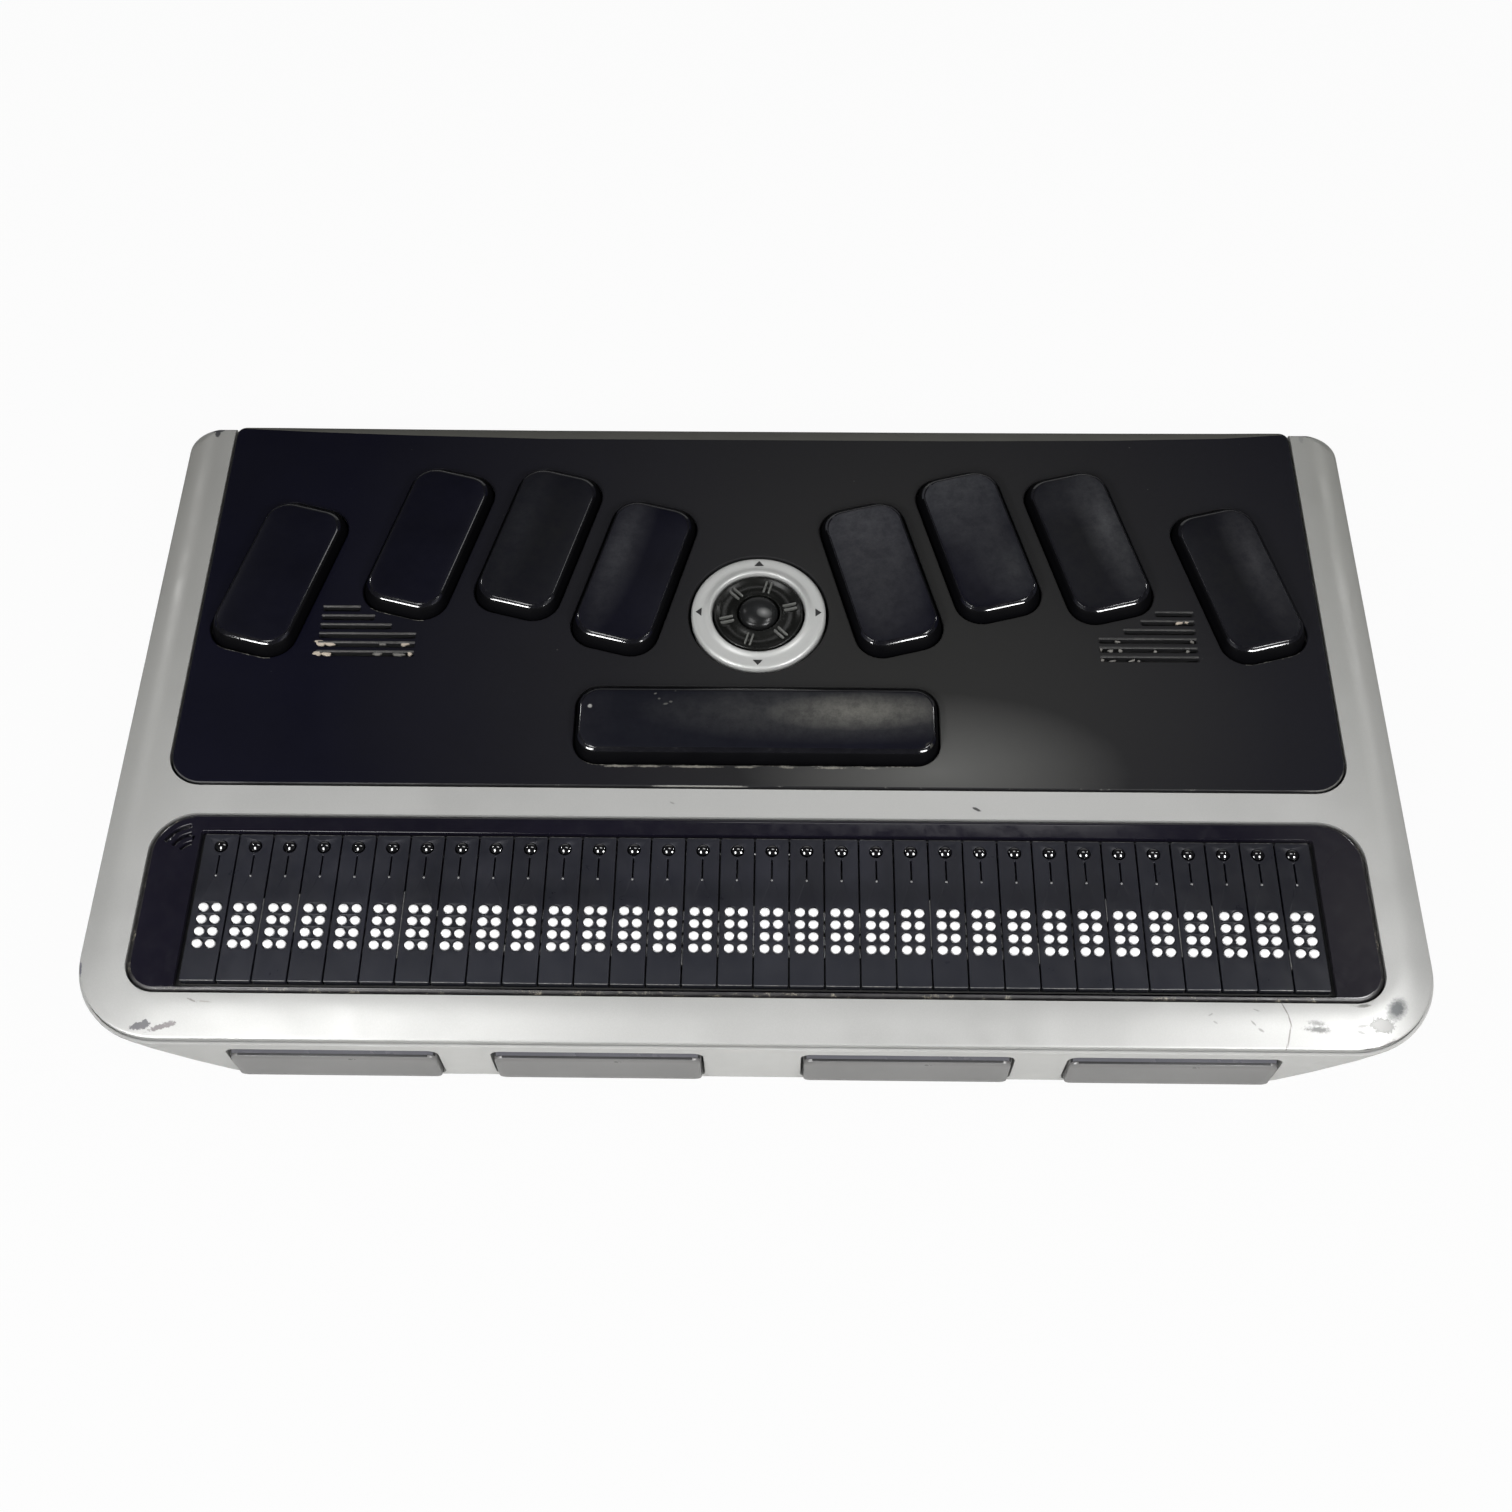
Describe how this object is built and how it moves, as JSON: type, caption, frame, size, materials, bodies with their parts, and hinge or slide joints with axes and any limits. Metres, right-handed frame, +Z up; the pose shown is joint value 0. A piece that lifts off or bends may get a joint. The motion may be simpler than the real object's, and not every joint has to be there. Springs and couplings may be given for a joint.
{
  "type": "braille notetaker",
  "caption": "Slab-shaped braille notetaker: leaning braille keys, space bar, navigation ring with scroll wheel, braille line with routing buttons, front thumb keys.",
  "frame": {"origin": "middle of the footprint on the plane under the feet", "axes": "+X to the user's right, +Y away from the user, +Z up"},
  "size_m": [0.2438, 0.1399, 0.0198],
  "materials": {
    "satin_silver": "satin silver paint",
    "case_grey": "fine matt",
    "soft_touch_black": "soft-touch",
    "key_black": "satin",
    "gloss_black": "gloss",
    "cap_blue_grey": "satin",
    "pin_white": "polished",
    "thumb_grey": "gloss",
    "board_green": "solder mask",
    "steel": "plated",
    "black_rubber": "matt",
    "reed_ceramic": "fired",
    "plain_black_plastic": "fine matt"
  },
  "bodies": {
    "case": {"bottom_case": "case_grey", "top_frame": "satin_silver", "keyboard_panel": "soft_touch_black", "braille_bezel": "gloss_black", "battery_door": "case_grey", "wheel_encoder": "plain_black_plastic", "cell_caps": "cap_blue_grey", "cell_frame": "plain_black_plastic", "piezo_reeds": "reed_ceramic", "cell_backplane": "board_green", "thumb_key_board": "board_green", "key_board": "board_green", "key_mat": "black_rubber", "main_board": "board_green", "battery_pack": "plain_black_plastic", "left_speaker": "plain_black_plastic", "right_speaker": "plain_black_plastic", "microphone": "steel", "power_inlet": "plain_black_plastic", "network_socket": "steel", "usb_socket_left": "steel", "usb_socket_right": "steel", "headphone_socket": "plain_black_plastic", "line_in_socket": "plain_black_plastic", "card_slot": "steel", "switch_housing": "steel", "front_left_foot": "black_rubber", "front_right_foot": "black_rubber", "rear_left_foot": "black_rubber", "rear_right_foot": "black_rubber", "front_left_screw": "steel", "front_right_screw": "steel", "rear_left_screw": "steel", "rear_right_screw": "steel"},
    "dot_1_key_body": {"dot_1_key": "key_black"},
    "dot_2_key_body": {"dot_2_key": "key_black"},
    "dot_3_key_body": {"dot_3_key": "key_black"},
    "backspace_key_body": {"backspace_key": "key_black"},
    "dot_4_key_body": {"dot_4_key": "key_black"},
    "dot_5_key_body": {"dot_5_key": "key_black"},
    "dot_6_key_body": {"dot_6_key": "key_black"},
    "enter_key_body": {"enter_key": "key_black"},
    "space_bar_body": {"space_bar": "key_black"},
    "previous_thumb_key_body": {"previous_thumb_key": "thumb_grey"},
    "back_thumb_key_body": {"back_thumb_key": "thumb_grey"},
    "advance_thumb_key_body": {"advance_thumb_key": "thumb_grey"},
    "next_thumb_key_body": {"next_thumb_key": "thumb_grey"},
    "pins_dots_1_4_body": {"pins_dots_1_4": "pin_white"},
    "pins_dots_2_5_body": {"pins_dots_2_5": "pin_white"},
    "pins_dots_3_6_body": {"pins_dots_3_6": "pin_white"},
    "pins_dots_7_8_body": {"pins_dots_7_8": "pin_white"},
    "routing_buttons_body": {"routing_buttons": "gloss_black"},
    "nav_carrier_body": {"nav_carrier": "plain_black_plastic"},
    "nav_ring_body": {"nav_ring": "satin_silver"},
    "scroll_wheel_body": {"scroll_wheel": "gloss_black"},
    "select_button_body": {"select_button": "gloss_black"},
    "power_switch_body": {"power_switch": "plain_black_plastic"}
  },
  "joints": [
    {"name": "dot_1_key_press", "type": "slide", "parent": "case", "child": "dot_1_key_body", "axis": [0, 0, -1], "range_m": [0, 0.0015], "stiffness_N_per_m": 350, "springref_m": -0.0006},
    {"name": "dot_2_key_press", "type": "slide", "parent": "case", "child": "dot_2_key_body", "axis": [0, 0, -1], "range_m": [0, 0.0015], "stiffness_N_per_m": 350, "springref_m": -0.0006},
    {"name": "dot_3_key_press", "type": "slide", "parent": "case", "child": "dot_3_key_body", "axis": [0, 0, -1], "range_m": [0, 0.0015], "stiffness_N_per_m": 350, "springref_m": -0.0006},
    {"name": "backspace_key_press", "type": "slide", "parent": "case", "child": "backspace_key_body", "axis": [0, 0, -1], "range_m": [0, 0.0015], "stiffness_N_per_m": 350, "springref_m": -0.0006},
    {"name": "dot_4_key_press", "type": "slide", "parent": "case", "child": "dot_4_key_body", "axis": [0, 0, -1], "range_m": [0, 0.0015], "stiffness_N_per_m": 350, "springref_m": -0.0006},
    {"name": "dot_5_key_press", "type": "slide", "parent": "case", "child": "dot_5_key_body", "axis": [0, 0, -1], "range_m": [0, 0.0015], "stiffness_N_per_m": 350, "springref_m": -0.0006},
    {"name": "dot_6_key_press", "type": "slide", "parent": "case", "child": "dot_6_key_body", "axis": [0, 0, -1], "range_m": [0, 0.0015], "stiffness_N_per_m": 350, "springref_m": -0.0006},
    {"name": "enter_key_press", "type": "slide", "parent": "case", "child": "enter_key_body", "axis": [0, 0, -1], "range_m": [0, 0.0015], "stiffness_N_per_m": 350, "springref_m": -0.0006},
    {"name": "space_bar_press", "type": "slide", "parent": "case", "child": "space_bar_body", "axis": [0, 0, -1], "range_m": [0, 0.0015], "stiffness_N_per_m": 350, "springref_m": -0.0006},
    {"name": "previous_thumb_key_press", "type": "slide", "parent": "case", "child": "previous_thumb_key_body", "axis": [0, 1, 0], "range_m": [0, 0.001], "stiffness_N_per_m": 450, "springref_m": -0.0005},
    {"name": "back_thumb_key_press", "type": "slide", "parent": "case", "child": "back_thumb_key_body", "axis": [0, 1, 0], "range_m": [0, 0.001], "stiffness_N_per_m": 450, "springref_m": -0.0005},
    {"name": "advance_thumb_key_press", "type": "slide", "parent": "case", "child": "advance_thumb_key_body", "axis": [0, 1, 0], "range_m": [0, 0.001], "stiffness_N_per_m": 450, "springref_m": -0.0005},
    {"name": "next_thumb_key_press", "type": "slide", "parent": "case", "child": "next_thumb_key_body", "axis": [0, 1, 0], "range_m": [0, 0.001], "stiffness_N_per_m": 450, "springref_m": -0.0005},
    {"name": "pins_dots_1_4_drop", "type": "slide", "parent": "case", "child": "pins_dots_1_4_body", "axis": [0, 0, -1], "range_m": [0, 0.0007], "stiffness_N_per_m": 400, "springref_m": -0.0004},
    {"name": "pins_dots_2_5_drop", "type": "slide", "parent": "case", "child": "pins_dots_2_5_body", "axis": [0, 0, -1], "range_m": [0, 0.0007], "stiffness_N_per_m": 400, "springref_m": -0.0004},
    {"name": "pins_dots_3_6_drop", "type": "slide", "parent": "case", "child": "pins_dots_3_6_body", "axis": [0, 0, -1], "range_m": [0, 0.0007], "stiffness_N_per_m": 400, "springref_m": -0.0004},
    {"name": "pins_dots_7_8_drop", "type": "slide", "parent": "case", "child": "pins_dots_7_8_body", "axis": [0, 0, -1], "range_m": [0, 0.0007], "stiffness_N_per_m": 400, "springref_m": -0.0004},
    {"name": "routing_buttons_press", "type": "slide", "parent": "case", "child": "routing_buttons_body", "axis": [0, 0, -1], "range_m": [0, 0.0005], "stiffness_N_per_m": 400, "springref_m": -0.0004},
    {"name": "nav_carrier_rock", "type": "hinge", "parent": "case", "child": "nav_carrier_body", "pos_m": [0, 0.022, 0.015], "axis": [0, 1, 0], "range_deg": [-3, 3], "stiffness_Nm_per_rad": 0.05},
    {"name": "nav_ring_rock", "type": "hinge", "parent": "nav_carrier_body", "child": "nav_ring_body", "pos_m": [0, 0.022, 0.015], "axis": [1, 0, 0], "range_deg": [-3, 3], "stiffness_Nm_per_rad": 0.05},
    {"name": "scroll_wheel_spin", "type": "hinge", "parent": "case", "child": "scroll_wheel_body", "pos_m": [0, 0.022, 0.015], "axis": [0, 0, 1], "continuous": true},
    {"name": "select_button_press", "type": "slide", "parent": "case", "child": "select_button_body", "axis": [0, 0, -1], "range_m": [0, 0.0008], "stiffness_N_per_m": 300, "springref_m": -0.0005},
    {"name": "power_switch_slide", "type": "slide", "parent": "case", "child": "power_switch_body", "axis": [1, 0, 0], "range_m": [0, 0.004]}
  ]
}
